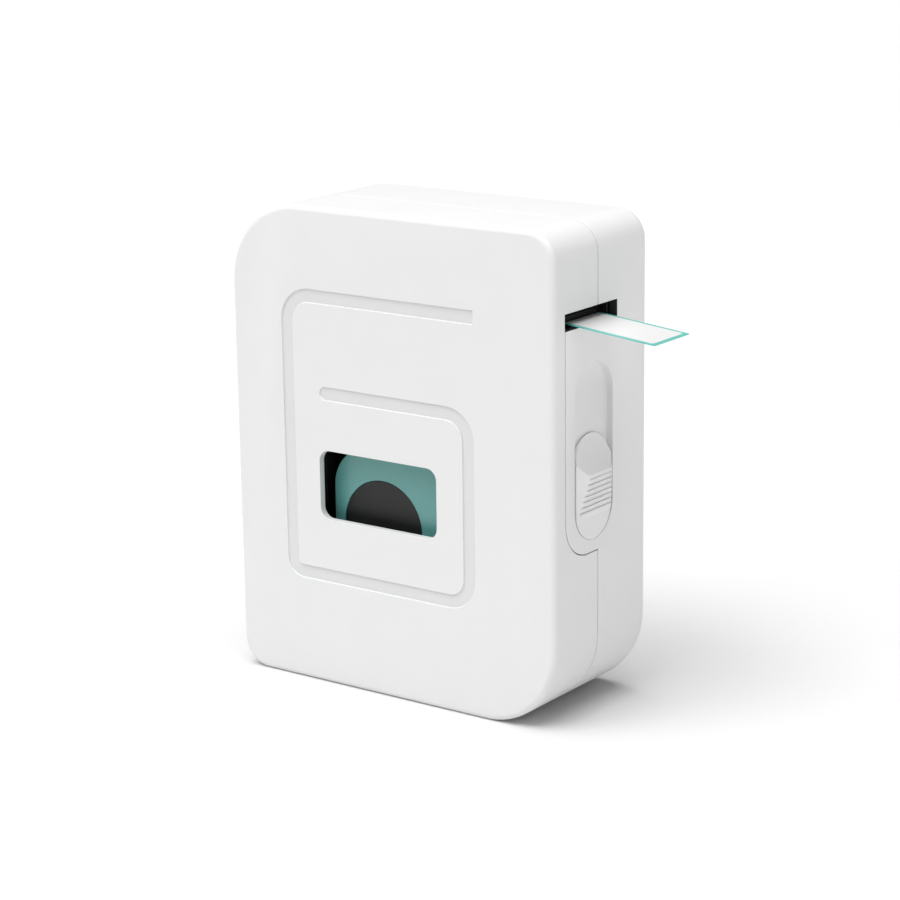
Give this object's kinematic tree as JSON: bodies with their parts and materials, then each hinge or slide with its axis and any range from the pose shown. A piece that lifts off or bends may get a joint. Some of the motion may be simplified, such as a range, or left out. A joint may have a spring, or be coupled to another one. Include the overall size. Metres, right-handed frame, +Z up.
{
  "type": "tape label maker",
  "caption": "Pocket tape label maker: white hinged case with a window onto a teal cassette, side tape slot with a label, and a ribbed cutter slider.",
  "frame": {"origin": "middle of the case's base, which it stands on", "axes": "+X out of the tape slot, -Y out of the front face, +Z up"},
  "size_m": [0.1049, 0.036, 0.105],
  "materials": {
    "case_white": "fine satin moulded ABS",
    "slider_white": "fine satin moulded ABS",
    "cassette_teal": "satin moulded polystyrene",
    "black_plastic": "satin moulded ABS",
    "tape_teal": "smooth release film",
    "label_white": "smooth coated film",
    "tape_wound": "edge of wound film",
    "ribbon_black": "wax coated film",
    "nylon": "natural moulded nylon",
    "steel": "ground",
    "pin_steel": "polished",
    "spring_steel": "drawn wire",
    "platen_rubber": "ground rubber",
    "heat_sink": "matt",
    "ceramic": "glazed",
    "brass": "machined",
    "cell_wrap": "shrink sleeve",
    "board_green": "solder mask",
    "clear_plastic": "clear moulded",
    "lead_red": "wire insulation",
    "flex_amber": "polyimide film"
  },
  "bodies": {
    "case": {"rear_shell": "case_white", "hinge_pins": "pin_steel", "deck_plate": "black_plastic", "deck_screws": "pin_steel", "cutter_spring": "spring_steel", "cutter_guide": "steel", "cutter_anvil": "steel", "cassette_front": "cassette_teal", "cassette_back": "cassette_teal", "tape_web": "tape_teal", "ribbon_web": "ribbon_black", "platen_bracket": "steel", "head_pivot_pin": "pin_steel", "head_spring": "spring_steel", "motor_can": "steel", "motor_flange": "steel", "motor_screws": "pin_steel", "battery_cell": "cell_wrap", "battery_cover": "black_plastic", "battery_contacts": "brass", "battery_leads": "lead_red", "circuit_board": "board_green", "board_screws": "pin_steel", "processor_chip": "black_plastic", "radio_module": "steel", "charging_socket": "pin_steel", "push_switch": "steel", "light_pipe": "clear_plastic", "status_light": "label_white", "flex_connector": "nylon", "head_flex": "flex_amber"},
    "lid": {"front_lid": "case_white"},
    "cutter": {"slider_button": "slider_white", "slider_carriage": "nylon", "blade_holder": "nylon", "cutter_blade": "steel", "blade_screws": "pin_steel"},
    "head": {"print_head": "ceramic", "head_heat_sink": "heat_sink"},
    "platen": {"platen_rubber": "platen_rubber", "platen_shaft": "pin_steel", "platen_gear": "nylon"},
    "upper_idler": {"upper_idler": "nylon"},
    "lower_idler": {"lower_idler": "nylon"},
    "pinion": {"motor_pinion": "brass"},
    "take_up": {"take_up_spindle": "nylon", "take_up_spool": "black_plastic", "used_ribbon": "ribbon_black"},
    "tape_supply": {"tape_spool": "black_plastic", "tape_roll": "tape_wound"},
    "ribbon_supply": {"ribbon_spool": "black_plastic", "ribbon_roll": "ribbon_black"},
    "guide_roller": {"tape_guide_roller": "nylon"},
    "label": {"label_strip": "label_white", "label_liner": "tape_teal"},
    "power": {"power_button": "slider_white"}
  },
  "joints": [
    {"name": "lid_hinge", "type": "hinge", "parent": "case", "child": "lid", "pos_m": [-0.04175, -0.0018, 0.0525], "axis": [0, 0, -1], "range_deg": [0, 105]},
    {"name": "head_release", "type": "hinge", "parent": "case", "child": "head", "pos_m": [0.022, -0.0045, 0.079], "axis": [0, 1, 0], "range_deg": [0, 8], "deforming": ["head_spring"]},
    {"name": "cutter_slide", "type": "slide", "parent": "case", "child": "cutter", "axis": [0, 0, 1], "range_m": [0, 0.0152], "stiffness_N_per_m": 150, "springref_m": -0.006, "deforming": ["cutter_spring"]},
    {"name": "power_press", "type": "slide", "parent": "case", "child": "power", "axis": [1, 0, 0], "range_m": [0, 0.0005], "stiffness_N_per_m": 1500, "springref_m": -0.0004},
    {"name": "label_pull", "type": "slide", "parent": "case", "child": "label", "axis": [0.9952, 0, -0.0976], "range_m": [0, 0.025]},
    {"name": "platen_spin", "type": "hinge", "parent": "case", "child": "platen", "pos_m": [0.027, -0.0045, 0.0906], "axis": [0, -1, 0], "continuous": true},
    {"name": "upper_idler_spin", "type": "hinge", "parent": "case", "child": "upper_idler", "pos_m": [0.01431, -0.0045, 0.08598], "axis": [0, -1, 0], "continuous": true},
    {"name": "lower_idler_spin", "type": "hinge", "parent": "case", "child": "lower_idler", "pos_m": [0.0182, -0.0045, 0.07149], "axis": [0, -1, 0], "continuous": true},
    {"name": "pinion_spin", "type": "hinge", "parent": "case", "child": "pinion", "pos_m": [0.00385, -0.0045, 0.0869], "axis": [0, -1, 0], "continuous": true},
    {"name": "take_up_spin", "type": "hinge", "parent": "case", "child": "take_up", "pos_m": [0.02054, -0.0045, 0.0582], "axis": [0, -1, 0], "continuous": true},
    {"name": "tape_supply_spin", "type": "hinge", "parent": "case", "child": "tape_supply", "pos_m": [-0.0057, -0.0045, 0.036], "axis": [0, -1, 0], "continuous": true},
    {"name": "ribbon_supply_spin", "type": "hinge", "parent": "case", "child": "ribbon_supply", "pos_m": [0.0214, -0.0045, 0.034], "axis": [0, -1, 0], "continuous": true},
    {"name": "guide_roller_spin", "type": "hinge", "parent": "case", "child": "guide_roller", "pos_m": [0.00805, -0.0045, 0.0841], "axis": [0, -1, 0], "continuous": true}
  ],
  "couplings": [
    {"joint": "upper_idler_spin", "follows": "platen_spin", "ratio": -0.8},
    {"joint": "lower_idler_spin", "follows": "platen_spin", "ratio": 0.8},
    {"joint": "pinion_spin", "follows": "platen_spin", "ratio": 2},
    {"joint": "take_up_spin", "follows": "platen_spin", "ratio": -1},
    {"joint": "tape_supply_spin", "follows": "platen_spin", "ratio": 0.36842},
    {"joint": "ribbon_supply_spin", "follows": "platen_spin", "ratio": -0.6},
    {"joint": "guide_roller_spin", "follows": "platen_spin", "ratio": -2.1},
    {"joint": "head_release", "follows": "lid_hinge", "ratio": 0.07619}
  ]
}
